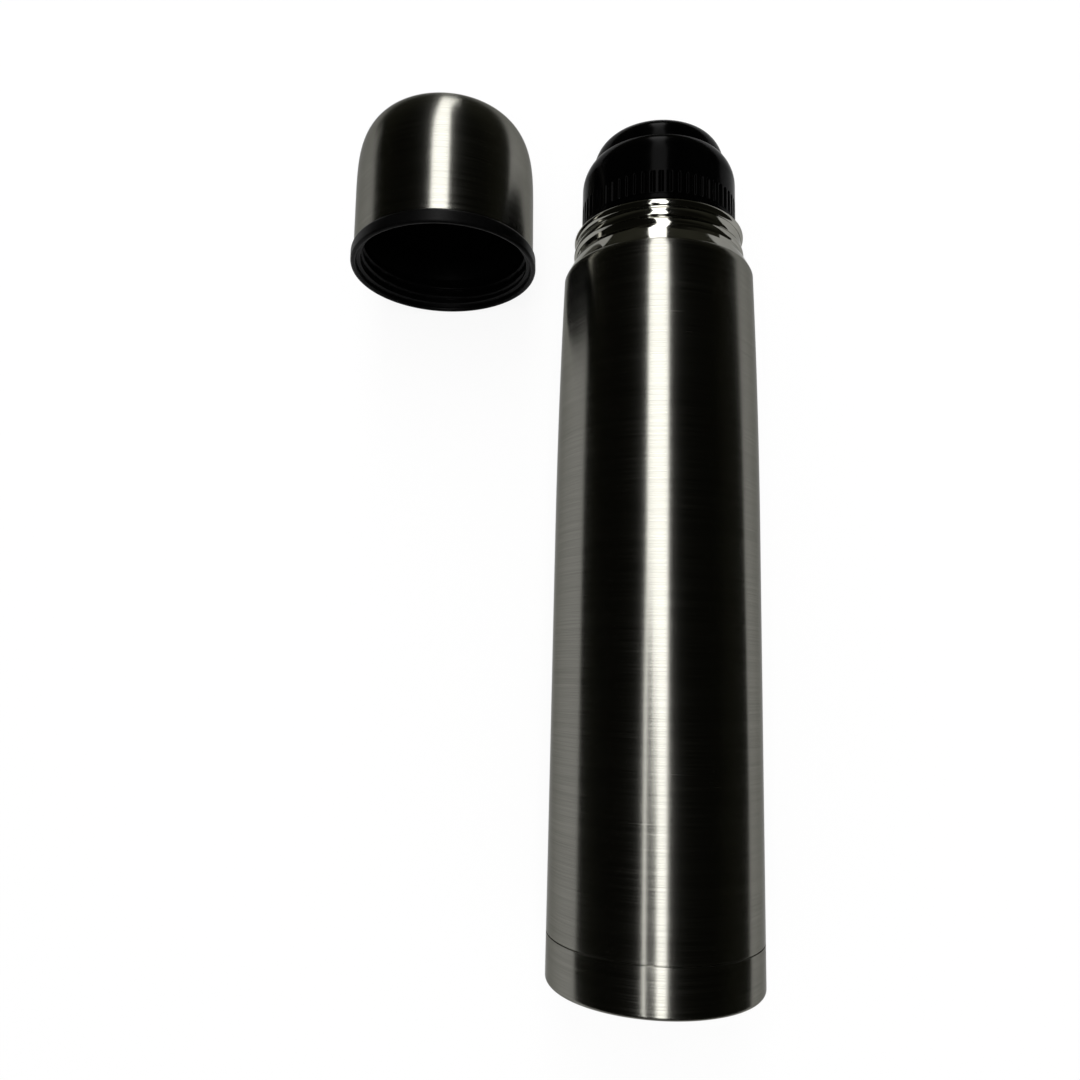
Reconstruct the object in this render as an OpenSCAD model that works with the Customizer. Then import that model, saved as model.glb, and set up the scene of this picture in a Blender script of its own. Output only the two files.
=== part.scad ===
// Slim stainless vacuum flask with a push-button pouring stopper and a screw-on drinking cup.
// Every piece is drawn upright about its own axis and then laid down: the flask lies along +Y on the
// surface at z = -body_d / 2, its stopper screwed in, and its cup lies on its side next to the neck.

/* [Flask body] */
// Outer diameter of the body
body_d = 72; // [66:1:80]
// Height of the brushed shell's top edge above the base
body_h = 244.4; // [200:0.2:300]
// Height where the body starts to narrow
narrow_z = 150; // [100:1:180]
// Radius that the body loses up to its top edge
narrow_by = 1.4; // [0:0.1:2]
// Sheet thickness of the outer shell, the base cover and the outer bottom
shell_t = 0.5; // [0.4:0.1:0.8]
// Height of the base cover, up to its seam
base_h = 15.5; // [10:0.5:25]
// Rounding of the base's outer edge
base_round = 1.5; // [0.8:0.1:3]
// Width of the seam between the base cover and the shell
seam_w = 0.3; // [0.1:0.1:0.6]
// Height of the outer bottom above the base
outer_bottom_z = 3.4; // [2.5:0.1:5]

/* [Inner bottle] */
// Gap between the outer shell and the inner bottle, which holds the vacuum
vacuum_gap = 2.9; // [1.5:0.1:5]
// Sheet thickness of the inner bottle
inner_t = 0.4; // [0.3:0.1:0.8]
// Gap between the outer bottom and the inner bottom
bottom_gap = 4.4; // [3:0.1:8]
// Rounding of the inner bottom's corner
inner_corner = 9; // [4:0.5:14]
// Length over which the inner bottle narrows to its neck
inner_shoulder_h = 14; // [10:0.5:25]

/* [Neck] */
// Height of the polished shoulder
shoulder_h = 9.4; // [6:0.2:16]
// Height of the neck above the shoulder
neck_h = 7.3; // [7:0.1:12]
// Outer diameter of the neck between its threads
neck_d = 60.2; // [56:0.2:62]
// Inner diameter of the mouth between its threads
mouth_d = 51; // [46:0.5:53]
// Depth of the ledge that carries the stopper's gasket, below the rim
ledge_depth = 21; // [19:0.5:30]
// Width of the ledge
ledge_w = 2.3; // [1.5:0.1:3]

/* [Threads] */
// Pitch of the neck's outer thread, which takes the cup
cup_pitch = 3.85; // [3.4:0.05:4.5]
// Turns of the neck's outer thread
cup_turns = 1.75; // [1.25:0.25:1.75]
// Height of the outer thread's ridge
cup_ridge = 1; // [0.7:0.1:1.2]
// Pitch of the stopper's thread
stopper_pitch = 4; // [3.6:0.1:5]
// Turns of the stopper's thread, on the neck and on the plug
stopper_turns = 1.5; // [1:0.25:1.75]
// Height of the stopper thread's ridges
stopper_ridge = 0.9; // [0.7:0.1:1.1]
// Radial clearance between a crest and the wall that it faces
thread_clear = 0.4; // [0.3:0.05:0.6]

/* [Stopper] */
// Outer diameter of the grip cap
cap_d = 57; // [55:0.5:60]
// Wall of the grip cap
cap_t = 2.2; // [1.6:0.1:2.4]
// Height of the cap's straight flank
cap_flank_h = 16.2; // [13:0.2:24]
// Width of the land between the cap's flank and the button
cap_land = 3.5; // [3.4:0.1:5]
// Height of the grooved grip band
grip_h = 8.5; // [5:0.5:12]
// Number of grip grooves
grip_count = 60; // [40:2:72]
// Depth of a grip groove
grip_depth = 0.6; // [0.3:0.1:0.9]
// Height of the pouring slot between the rim and the stopper's flange
pour_slot = 1.3; // [0.8:0.1:3]
// Thickness of the stopper's flange
flange_t = 1.8; // [1.2:0.1:3]
// Wall of the threaded plug
plug_t = 2.3; // [1.6:0.1:3]
// Length of the spigot that carries the gasket below the ledge
spigot_h = 3.1; // [2:0.1:6]
// Thickness of the neck gasket
gasket_t = 2.2; // [1.6:0.1:3]
// Number of pouring channels round the plug
channels = 6; // [4:1:8]
// Width of a pouring channel
channel_w = 9; // [6:0.5:10]

/* [Button and valve] */
// Height of the button's straight side above the cap's flank
button_side_h = 7.5; // [5:0.1:12]
// Height of the button's rounded edge
button_round_h = 10.3; // [6:0.1:14]
// Width of the button's rounded edge
button_round_w = 7.2; // [4:0.1:10]
// Rise of the button's domed top
button_dome = 0.5; // [0.2:0.1:1.5]
// Wall of the button
button_t = 2.2; // [1.6:0.1:3]
// Travel of the button
button_press = 4.5; // [2:0.1:5.5]
// Diameter of the valve stem
stem_d = 6; // [4:0.5:7]
// Diameter of the spring's wire
spring_wire = 1.4; // [0.8:0.1:1.8]
// Mean diameter of the spring
spring_d = 16; // [14:0.5:17]
// Thickness of the valve disc
valve_t = 4; // [3:0.1:6]

/* [Cup] */
// Height of the cup
cup_h = 61.2; // [56:0.2:75]
// Sheet thickness of the cup's steel shell
cup_t = 0.5; // [0.4:0.1:0.8]
// Wall of the cup's plastic liner
liner_t = 2; // [1.4:0.1:2.6]
// Height of the rolled lip
lip_h = 5.5; // [4:0.1:8]
// How far the lip stands out from the steel shell
lip_out = 1; // [0.6:0.1:1.6]
// Height where the cup's side starts to curve in
cup_side_h = 22.7; // [15:0.1:35]
// Squareness of the cup's dome: 2 is an ellipse, higher is boxier
cup_square = 4; // [2.5:0.1:5]

/* [Placing of the cup] */
// Gap between the flask's side and the cup's lip
cup_gap = 10.2; // [5:0.1:40]
// How far the lip lies past the shell's top edge
cup_ahead = 6.5; // [-20:0.5:40]
// Turn of the cup's axis away from the flask's
cup_lean = 1.5; // [-10:0.5:20]

/* [Hidden] */

// Smoothness of round surfaces, and steps of a quarter arc and of a long gentle curve
$fn = 96;
ARC = 8;
CURVE = 12;

// Clearances between moving pieces: a slip fit on a shaft, a loose fit and a pair of seal faces
SLIP = 0.1;
LOOSE = 0.3;
SEAL = 0.1;
// Overlap that makes a cut pass a face cleanly
PASS = 1;

// Flask body
body_r = body_d / 2;
skirt_r = body_r - shell_t;
edge_drop = 0.4;
edge_h = 0.8;
shoulder_r = body_r - narrow_by - edge_drop;

// Neck
neck_r = neck_d / 2;
crest_r = neck_r + cup_ridge;
mouth_r = mouth_d / 2;
rim_z = body_h + shoulder_h + neck_h;
rim_round = 0.55;
rim_t = 0.6;
ledge_z = rim_z - ledge_depth;
ledge_r = mouth_r - ledge_w;
neck_lead_in = 6;
shoulder_power = 1.8;

// Inner bottle
inner_r = body_r - shell_t - vacuum_gap - inner_t;
inner_bottom_z = outer_bottom_z + shell_t + bottom_gap;
weld_lip = 2;
weld_z = inner_bottom_z + inner_t + inner_corner + weld_lip;

// Stopper, from the gasket up
gasket_z = ledge_z + SEAL;
plug_z = gasket_z + gasket_t;
plug_r = mouth_r - thread_clear - stopper_ridge + 0.1;
spigot_gap = 1.8;
spigot_t = 4.4;
spigot_r = ledge_r - spigot_gap;
spigot_end_z = ledge_z - spigot_h;
spigot_bore_r = spigot_r - spigot_t;
flange_z = rim_z + pour_slot;
cap_z = flange_z + flange_t;
cap_r = cap_d / 2;
cap_in_r = cap_r - cap_t;
hole_r = cap_r - cap_land;
flank_z = cap_z + cap_flank_h;
cap_round_w = 10.8;
cap_round_h = 11.7;
cap_edge = 0.5;
cap_roof_rise = 4.6;
cap_roof_z = flank_z + cap_roof_rise;
chamber_t = plug_t + 0.5;
chamber_r = plug_r - chamber_t;
chamber_h = 6.6;
chamber_cone_h = 4;
web_z = plug_z + chamber_h;
web_t = 3;
web_top = web_z + web_t;
socket_h = 5.8;
plug_top = cap_z + socket_h;

// Button and valve
button_r = hole_r - LOOSE;
button_flange_r = cap_in_r - 0.5;
button_flange_t = 2.3;
button_flange_z = cap_roof_z - SEAL - button_flange_t;
button_side_z = flank_z + button_side_h;
button_top = button_side_z + button_round_h;
seat_rim = 1.8;
seat_r = spring_d / 2 + spring_wire / 2 + seat_rim;
seat_t = 2;
seat_drop = 0.5;
seat_z = button_flange_z - seat_drop;
stem_r = stem_d / 2;
stem_head_r = stem_r + 1.2;
stem_head_t = 2;
stem_foot_r = stem_r + 2;
stem_foot_t = 1.5;
ring_r = 1;
gland_r = stem_r + SLIP / 2 + 2 * ring_r;
washer_t = 0.8;
seal_w = 2.6;
seal_t = 1.5;
seal_proud = 0.4;
seal_edge = 0.3;
valve_gap = 0.9;
valve_top = spigot_end_z - SEAL - seal_proud;
valve_r = spigot_r - valve_gap;
valve_z = valve_top - valve_t;
valve_edge = 1.5;
seal_z = valve_top + seal_proud - seal_t;
seal_out_r = valve_r - seal_edge;
spring_turns = 7;
spring_z = web_top + washer_t;

// Cup
cup_bore_r = crest_r + thread_clear + 0.1;
liner_r = cup_bore_r + liner_t;
cup_r = liner_r + SLIP + cup_t;
lip_r = cup_r + lip_out;
lip_round = 1.5;
cup_mouth_r = cup_bore_r + 0.4;
cup_thread_s = 4.2;

// Resting place of the cup: the lip and the side both touch the surface
lip_centre_r = lip_r - lip_round;
lip_centre_s = lip_h - lip_round;
cup_tilt = min([for (s = [lip_h + 2 : 1 : cup_h - 4]) let (
    rise = cup_radius(s, 0) - lip_centre_r,
    run = s - lip_centre_s)
    asin(lip_round / norm([rise, run])) - atan2(rise, run)]);
cup_rest_h = lip_centre_r * cos(cup_tilt) + lip_centre_s * sin(cup_tilt) + lip_round;
cup_x = -(body_r + cup_gap + lip_r);
cup_y = body_h + cup_ahead;

// Points of an elliptical arc about [cx, cz] from angle a to angle b
function arc(cx, cz, rx, rz, a, b) =
    [for (i = [0 : ARC]) let (t = a + (b - a) * i / ARC) [cx + rx * cos(t), cz + rz * sin(t)]];

// Outer radius of the brushed shell at height z
function shell_radius(z) =
    body_r - narrow_by * pow(max(0, z - narrow_z) / (body_h - edge_h - narrow_z), 2);

// Outer radius of the polished shoulder at the share t of its height
function shoulder_radius(t) = neck_r + (shoulder_r - neck_r) * (1 - pow(t, shoulder_power));

// Radius of the cup at height s above its lip, on a surface sunk by `depth` from the steel's outside
function cup_radius(s, depth) =
    (cup_r - depth) * pow(1 - pow(max(0, s - cup_side_h) / (cup_h - depth - cup_side_h), cup_square),
                          1 / cup_square);

// Profile of the cup's dome from its side to its middle, on the same sunk surface
function cup_dome(depth) =
    [for (i = [0 : 2 * CURVE]) let (
        t = 90 * i / (2 * CURVE),
        rise = cup_h - depth - cup_side_h)
        [(cup_r - depth) * pow(cos(t), 2 / cup_square), cup_side_h + rise * pow(sin(t), 2 / cup_square)]];

// Solid of revolution of a profile given as [radius, height] points
module spin(profile) {
    rotate_extrude() polygon(profile);
}

// Helical ridge: a four-sided profile swept along a right-hand screw line, its foot sunk into the wall.
// side is 1 on an outer wall and -1 in a bore; the ridge fades out at both ends.
module ridge(wall_r, height, pitch, turns, z, start, side) {
    foot_w = 0.46 * pitch;
    crest_w = 0.2 * pitch;
    steps = ceil(turns * 32);
    fade = 4;
    sink = 0.25;
    points = [for (i = [0 : steps]) let (
        turn = start + 360 * turns * i / steps,
        mid = z + pitch * turns * i / steps,
        foot = wall_r - side * sink,
        crest = wall_r + side * height * max(0.2, min(1, min(i, steps - i) / fade)))
        each [
            [foot * cos(turn), foot * sin(turn), mid - foot_w / 2],
            [crest * cos(turn), crest * sin(turn), mid - crest_w / 2],
            [crest * cos(turn), crest * sin(turn), mid + crest_w / 2],
            [foot * cos(turn), foot * sin(turn), mid + foot_w / 2]
        ]];
    flanks = [for (i = [0 : steps - 1], j = [0 : 3]) let (
        a = 4 * i + j,
        b = 4 * i + (j + 1) % 4)
        each [[a, b, b + 4], [a, b + 4, a + 4]]];
    ends = [[3, 2, 1, 0], [for (j = [0 : 3]) 4 * steps + j]];
    faces = concat(flanks, ends);
    turned = [for (face = faces) [for (k = [len(face) - 1 : -1 : 0]) face[k]]];
    polyhedron(points, side > 0 ? faces : turned);
}

// Places a piece of the flask or its stopper, drawn upright from the base
module lay_flask() {
    rotate([-90, 0, 0]) children();
}

// Places a piece of the cup, drawn with its lip at z = 0 and its dome above
module lay_cup() {
    translate([cup_x, cup_y, cup_rest_h - body_r])
        rotate([-90 - cup_tilt, 0, cup_lean])
            children();
}

// Brushed tube of the body, with a set-in skirt that the base cover hides
module outer_shell() {
    outside = concat(
        [[skirt_r, outer_bottom_z], [skirt_r, base_h], [body_r, base_h]],
        [for (i = [0 : CURVE]) let (z = narrow_z + (body_h - edge_h - narrow_z) * i / CURVE)
            [shell_radius(z), z]],
        [[shoulder_r, body_h]]);
    inside = concat(
        [[shoulder_r - shell_t, body_h]],
        [for (i = [CURVE : -1 : 0]) let (z = narrow_z + (body_h - edge_h - narrow_z) * i / CURVE)
            [shell_radius(z) - shell_t, z]],
        [[body_r - shell_t, base_h + shell_t], [skirt_r - shell_t, base_h + shell_t],
         [skirt_r - shell_t, outer_bottom_z]]);
    color("silver") lay_flask() spin(concat(outside, inside));
}

// Cover pushed over the skirt, with a shallow ring pressed into its underside
module base_cover() {
    press_r = body_r - 9;
    press_w = 1.5;
    press_depth = 0.25;
    color("silver") lay_flask() spin(concat(
        [[0, 0], [press_r - press_w, 0], [press_r - press_w, press_depth], [press_r, press_depth],
         [press_r, 0]],
        arc(body_r - base_round, base_round, base_round, base_round, -90, 0),
        [[body_r, base_h - seam_w], [skirt_r, base_h - seam_w], [skirt_r, base_round], [skirt_r - 1, shell_t],
         [0, shell_t]]));
}

// Disc that closes the vacuum, its upturned rim welded into the skirt
module outer_bottom() {
    rim_r = skirt_r - shell_t;
    rim_h = 3;
    z = outer_bottom_z;
    color("darkgray") lay_flask() spin([
        [vacuum_seal_r(), z], [rim_r, z], [rim_r, z + rim_h], [rim_r - shell_t, z + rim_h],
        [rim_r - shell_t, z + shell_t], [vacuum_seal_r(), z + shell_t]]);
}

function vacuum_seal_r() = 2;

// Solder plug that closes the hole through which the air was drawn out
module vacuum_seal() {
    cap_t = 0.5;
    color("goldenrod") lay_flask() {
        translate([0, 0, outer_bottom_z - cap_t]) cylinder(r = vacuum_seal_r(), h = shell_t + cap_t);
        translate([0, 0, outer_bottom_z - cap_t]) cylinder(r = vacuum_seal_r() + 1.2, h = cap_t);
    }
}

// Getter pellet in the vacuum, which holds the last of the gas
module getter() {
    getter_r = 5;
    getter_t = 1.6;
    color("dimgray") lay_flask()
        translate([body_r / 2, 0, outer_bottom_z + shell_t])
            cylinder(r = getter_r, h = getter_t);
}

// Polished shoulder and neck, with the thread that takes the cup
module neck_collar() {
    top = rim_z - rim_t;
    outside = [for (i = [0 : CURVE]) [shoulder_radius(i / CURVE), body_h + shoulder_h * i / CURVE]];
    inside = [for (i = [CURVE : -1 : 0])
        [shoulder_radius(i / CURVE) - shell_t, body_h + shoulder_h * i / CURVE]];
    thread_top = top - cup_pitch / 4;
    thread_end = 245;
    color("gainsboro") lay_flask() {
        spin(concat(outside, [[neck_r, top], [neck_r - shell_t, top]], inside));
        ridge(neck_r, cup_ridge, cup_pitch, cup_turns, thread_top - cup_pitch * cup_turns,
              thread_end - 360 * cup_turns, 1);
    }
}

// Inner bottle: rim, threaded neck, gasket ledge, shoulder and tube, down to the bottom's weld
module inner_bottle() {
    low = ledge_z - inner_shoulder_h;
    shoulder = [for (i = [CURVE : -1 : 0]) let (t = i / CURVE)
        [inner_r + (ledge_r - inner_r) * (1 - cos(180 * t)) / 2, low + (inner_shoulder_h - inner_t) * t]];
    outside = concat(
        [[inner_r + inner_t, weld_z]],
        [for (i = [0 : CURVE]) let (t = i / CURVE)
            [inner_r + inner_t + (ledge_r - inner_r) * (1 - cos(180 * t)) / 2,
             low + (inner_shoulder_h - inner_t) * t]],
        [[mouth_r + inner_t, ledge_z - inner_t], [mouth_r + inner_t, rim_z - rim_t], [neck_r, rim_z - rim_t]],
        arc(neck_r - rim_round, rim_z - rim_round, rim_round, rim_round, 0, 90));
    inside = concat(
        arc(mouth_r + rim_round, rim_z - rim_round, rim_round, rim_round, 90, 180),
        [[mouth_r, ledge_z], [ledge_r, ledge_z]],
        shoulder,
        [[inner_r, weld_z]]);
    color("silver") lay_flask() {
        spin(concat(outside, inside));
        ridge(mouth_r, stopper_ridge, stopper_pitch, stopper_turns, neck_thread_z(), 0, -1);
    }
}

// Height of the foot of the neck's inner thread, and of the plug's thread half a pitch below it
function neck_thread_z() = rim_z - neck_lead_in - stopper_pitch * stopper_turns;
function plug_thread_z() = neck_thread_z() - stopper_pitch / 2;

// Rounded bottom welded to the lower end of the inner bottle's tube
module inner_bottom() {
    out_r = inner_r + inner_t;
    z = inner_bottom_z;
    color("silver") lay_flask() spin(concat(
        [[0, z]],
        arc(out_r - inner_corner, z + inner_corner, inner_corner, inner_corner, -90, 0),
        [[out_r, weld_z], [inner_r, weld_z]],
        arc(out_r - inner_corner, z + inner_corner, inner_corner - inner_t, inner_corner - inner_t, 0, -90),
        [[0, z + inner_t]]));
}

// Silicone ring on the plug's spigot, which seals on the ledge
module neck_gasket() {
    color("whitesmoke") lay_flask()
        translate([0, 0, gasket_z])
            difference() {
                cylinder(r = mouth_r - stopper_ridge - LOOSE, h = gasket_t);
                translate([0, 0, -PASS]) cylinder(r = spigot_r + SLIP, h = gasket_t + 2 * PASS);
            }
}

// Grip cap: a grooved band, a smooth flank and a rounded shoulder round the button's hole
module stopper_cap() {
    centre_r = cap_r - cap_round_w;
    edge_angle = acos((hole_r + cap_edge - centre_r) / cap_round_w);
    edge_z = flank_z + cap_round_h * sin(edge_angle);
    groove_r = 1;
    color("#1c1c1e") lay_flask()
        difference() {
            spin(concat(
                [[cap_in_r, cap_z], [cap_r, cap_z]],
                arc(centre_r, flank_z, cap_round_w, cap_round_h, 0, edge_angle),
                [[hole_r, edge_z - cap_edge], [hole_r, cap_roof_z], [cap_in_r, cap_roof_z]]));
            for (i = [0 : grip_count - 1])
                rotate(360 * i / grip_count)
                    translate([cap_r + groove_r - grip_depth, 0, cap_z - PASS])
                        cylinder(r = groove_r, h = grip_h + PASS, $fn = 24);
        }
}

// Threaded plug: gasket spigot, pouring chamber, web, flange and the socket that the cap snaps on
module stopper_plug() {
    channel_depth = 1.1;
    channel_foot = 1.5;
    window_foot = 2.4;
    color("#232325") lay_flask()
        difference() {
            union() {
                spin([
                    [spigot_bore_r, spigot_end_z], [spigot_r, spigot_end_z], [spigot_r, plug_z],
                    [plug_r, plug_z], [plug_r, flange_z], [cap_r, flange_z], [cap_r, cap_z],
                    [cap_in_r, cap_z], [cap_in_r, plug_top], [plug_r - plug_t, plug_top],
                    [plug_r - plug_t, web_top], [gland_r, web_top], [gland_r, web_top - 2 * ring_r],
                    [stem_r + SLIP, web_top - 2 * ring_r], [stem_r + SLIP, web_z], [chamber_r, web_z],
                    [chamber_r, ledge_z + chamber_cone_h], [spigot_bore_r, ledge_z]]);
                ridge(plug_r, stopper_ridge, stopper_pitch, stopper_turns, plug_thread_z(), 0, 1);
            }
            for (i = [0 : channels - 1])
                rotate(360 * i / channels) {
                    translate([plug_r - channel_depth, -channel_w / 2, plug_z + channel_foot])
                        cube([cap_d, channel_w, flange_z - plug_z - channel_foot]);
                    translate([chamber_r - PASS, -channel_w / 2, plug_z + window_foot])
                        cube([cap_d, channel_w, web_z - plug_z - window_foot]);
                }
        }
}

// O-ring round the stem, in its gland at the top of the web
module stem_seal() {
    color("#303032") lay_flask()
        translate([0, 0, web_top - ring_r])
            rotate_extrude()
                translate([stem_r + SLIP / 2 + ring_r, 0])
                    circle(r = ring_r, $fn = 32);
}

// Steel washer that keeps the O-ring in its gland and carries the spring
module spring_washer() {
    color("lightgray") lay_flask()
        translate([0, 0, web_top])
            difference() {
                cylinder(r = spring_d / 2 + spring_wire / 2 + 0.6, h = washer_t);
                translate([0, 0, -PASS]) cylinder(r = stem_r + LOOSE, h = washer_t + 2 * PASS);
            }
}

// Foam ring in the plug, round the spring
module stopper_insulation() {
    foam_gap = 1;
    foam_h = plug_top - web_top - foam_gap;
    color("ivory") lay_flask()
        translate([0, 0, web_top])
            difference() {
                cylinder(r = plug_r - plug_t, h = foam_h);
                translate([0, 0, -PASS]) cylinder(r = seat_r + foam_gap, h = foam_h + 2 * PASS);
            }
}

// Push button: domed top, skirt with a retaining flange, and a pocket that the spring pushes on
module push_button() {
    in_r = button_r - button_t;
    roof = button_top - button_t;
    edge_t = 1;
    pocket_r = seat_r - button_t;
    centre_r = button_r - button_round_w;
    color("#18181a") lay_flask() spin(concat(
        [[stem_r, seat_z], [seat_r, seat_z], [seat_r, roof - edge_t],
         [in_r - button_round_w + edge_t, roof - edge_t]],
        arc(centre_r, button_side_z, button_round_w - button_t, button_round_h - button_t - edge_t, 90, 0),
        [[in_r, button_flange_z], [button_flange_r, button_flange_z],
         [button_flange_r, button_flange_z + button_flange_t],
         [button_r, button_flange_z + button_flange_t]],
        arc(centre_r, button_side_z, button_round_w, button_round_h, 0, 90),
        [for (i = [1 : ARC]) let (r = centre_r * (1 - i / ARC))
            [r, button_top + button_dome * (1 - pow(r / centre_r, 2))]],
        [[0, roof], [pocket_r, roof], [pocket_r, seat_z + seat_t], [stem_r, seat_z + seat_t]]));
}

// Stem that carries the button's push down to the valve, with a snap head and a foot
module valve_stem() {
    foot_z = valve_z - stem_foot_t;
    head_z = seat_z + seat_t;
    color("#2a2a2c") lay_flask() {
        translate([0, 0, foot_z]) cylinder(r = stem_foot_r, h = stem_foot_t);
        translate([0, 0, foot_z]) cylinder(r = stem_r, h = head_z + stem_head_t - foot_z);
        translate([0, 0, head_z]) cylinder(r = stem_head_r, h = stem_head_t);
    }
}

// Valve disc under the spigot, with a groove for its seal
module valve_disc() {
    color("#2a2a2c") lay_flask() spin([
        [stem_r, valve_z], [valve_r - valve_edge, valve_z], [valve_r, valve_z + valve_edge],
        [valve_r, valve_top], [seal_out_r, valve_top], [seal_out_r, seal_z],
        [seal_out_r - seal_w, seal_z], [seal_out_r - seal_w, valve_top],
        [stem_r, valve_top]]);
}

// Silicone ring in the valve disc, which seals on the spigot's end
module valve_seal() {
    color("whitesmoke") lay_flask()
        translate([0, 0, seal_z])
            difference() {
                cylinder(r = seal_out_r, h = seal_t);
                translate([0, 0, -PASS]) cylinder(r = seal_out_r - seal_w, h = seal_t + 2 * PASS);
            }
}

// Compression spring between the washer and the button's pocket
module return_spring() {
    sides = 8;
    wire_r = spring_wire / 2;
    length = seat_z - spring_z - spring_wire;
    steps = spring_turns * 20;
    points = [for (i = [0 : steps], j = [0 : sides - 1]) let (
        turn = 360 * spring_turns * i / steps,
        side = 360 * j / sides,
        r = spring_d / 2 + wire_r * cos(side))
        [r * cos(turn), r * sin(turn), spring_z + wire_r + length * i / steps + wire_r * sin(side)]];
    flanks = [for (i = [0 : steps - 1], j = [0 : sides - 1]) let (
        a = sides * i + j,
        b = sides * i + (j + 1) % sides)
        each [[a, b, b + sides], [a, b + sides, a + sides]]];
    ends = [[for (j = [sides - 1 : -1 : 0]) j], [for (j = [0 : sides - 1]) sides * steps + j]];
    color("lightsteelblue") lay_flask() polyhedron(points, concat(flanks, ends));
}

// Steel shell of the cup, from the lip's top edge over the dome
module cup_shell() {
    color("silver") lay_cup() spin(concat(
        [[cup_r - cup_t, lip_h], [cup_r, lip_h]],
        cup_dome(0),
        [for (i = [2 * CURVE : -1 : 0]) cup_dome(cup_t)[i]]));
}

// Plastic liner of the cup: rolled lip, thread for the neck, and the inside of the dome
module cup_liner() {
    depth_out = cup_t + SLIP;
    dome_extra = 0.5;
    depth_in = depth_out + liner_t + dome_extra;
    bore_h = cup_thread_s + cup_pitch * cup_turns + 2;
    mouth_h = 2;
    lead_in = 0.4;
    color("#1f1f21") lay_cup() {
        spin(concat(
            arc(lip_centre_r, lip_round, lip_round, lip_round, -90, 0),
            arc(lip_centre_r, lip_centre_s, lip_round, lip_round, 0, 60),
            [[cup_r - cup_t, lip_h], [liner_r, lip_h]],
            cup_dome(depth_out),
            [for (i = [2 * CURVE : -1 : 0]) cup_dome(depth_in)[i]],
            [[cup_r - depth_in, bore_h + 1], [cup_bore_r, bore_h], [cup_bore_r, mouth_h + lead_in],
             [cup_mouth_r, mouth_h]],
            arc(cup_mouth_r + lip_round, lip_round, lip_round, lip_round, 180, 270)));
        ridge(cup_bore_r, cup_ridge, cup_pitch, cup_turns, cup_thread_s, 0, -1);
    }
}

outer_shell();
base_cover();
outer_bottom();
vacuum_seal();
getter();
neck_collar();
inner_bottle();
inner_bottom();
neck_gasket();
stopper_cap();
stopper_plug();
stem_seal();
spring_washer();
stopper_insulation();
push_button();
valve_stem();
valve_disc();
valve_seal();
return_spring();
cup_shell();
cup_liner();
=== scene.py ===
import math

import bmesh
import bpy
from mathutils import Matrix, Vector


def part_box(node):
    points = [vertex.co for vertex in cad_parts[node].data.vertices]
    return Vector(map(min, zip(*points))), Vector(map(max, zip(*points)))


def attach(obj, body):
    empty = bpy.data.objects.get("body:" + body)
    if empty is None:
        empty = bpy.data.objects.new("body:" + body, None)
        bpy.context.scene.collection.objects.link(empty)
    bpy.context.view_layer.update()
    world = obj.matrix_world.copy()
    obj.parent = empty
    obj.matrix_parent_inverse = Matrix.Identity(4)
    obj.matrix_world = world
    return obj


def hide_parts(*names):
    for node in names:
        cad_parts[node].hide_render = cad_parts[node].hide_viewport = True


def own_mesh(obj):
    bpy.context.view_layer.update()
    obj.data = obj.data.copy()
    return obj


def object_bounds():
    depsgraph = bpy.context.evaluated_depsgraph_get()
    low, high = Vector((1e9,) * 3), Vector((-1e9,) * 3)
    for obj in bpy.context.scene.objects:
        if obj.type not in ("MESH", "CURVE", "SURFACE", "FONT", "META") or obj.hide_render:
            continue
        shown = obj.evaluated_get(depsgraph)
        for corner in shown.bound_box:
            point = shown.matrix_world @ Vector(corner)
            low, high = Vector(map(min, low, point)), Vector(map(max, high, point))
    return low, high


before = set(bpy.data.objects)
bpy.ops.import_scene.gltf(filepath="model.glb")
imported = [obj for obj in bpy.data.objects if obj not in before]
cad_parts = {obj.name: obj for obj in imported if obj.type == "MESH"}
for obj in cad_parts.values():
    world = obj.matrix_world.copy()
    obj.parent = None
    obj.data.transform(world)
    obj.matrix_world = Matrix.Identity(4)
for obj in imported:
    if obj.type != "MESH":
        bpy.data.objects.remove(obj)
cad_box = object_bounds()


# ---------------------------------------------------------------------------------------------------
# Body tube. Stainless sheet drawn into a tube, 0.5 mm thick, narrowing gently towards the neck and
# brushed all over with a belt, so that fine lines run round it and a light on it is drawn out into a
# bright stripe along it. Its lower end is set in and hidden by the base cover.
MM = 0.001
LINEAR_KNEE = 0.04045
ON_AXIS = 1e-6
SHARP_EDGE = math.radians(35)


def linear(code):
    """sRGB hex, such as "#C8C4BA", as linear RGBA."""
    parts = [int(code[i:i + 2], 16) / 255 for i in (1, 3, 5)]
    return [p / 12.92 if p <= LINEAR_KNEE else ((p + 0.055) / 1.055) ** 2.4 for p in parts] + [1]


def node(tree, kind, sockets=None, **settings):
    """Adds a node and returns it. sockets fills its inputs, by name or number, with a value, another
    node's socket, or another node, which stands for its first output; settings sets the rest."""
    new = tree.nodes.new(kind)
    for name, value in settings.items():
        setattr(new, name, value)
    for key, value in (sockets or {}).items():
        if isinstance(value, bpy.types.Node):
            value = value.outputs[0]
        if isinstance(value, bpy.types.NodeSocket):
            tree.links.new(value, new.inputs[key])
        else:
            new.inputs[key].default_value = value
    return new


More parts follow.
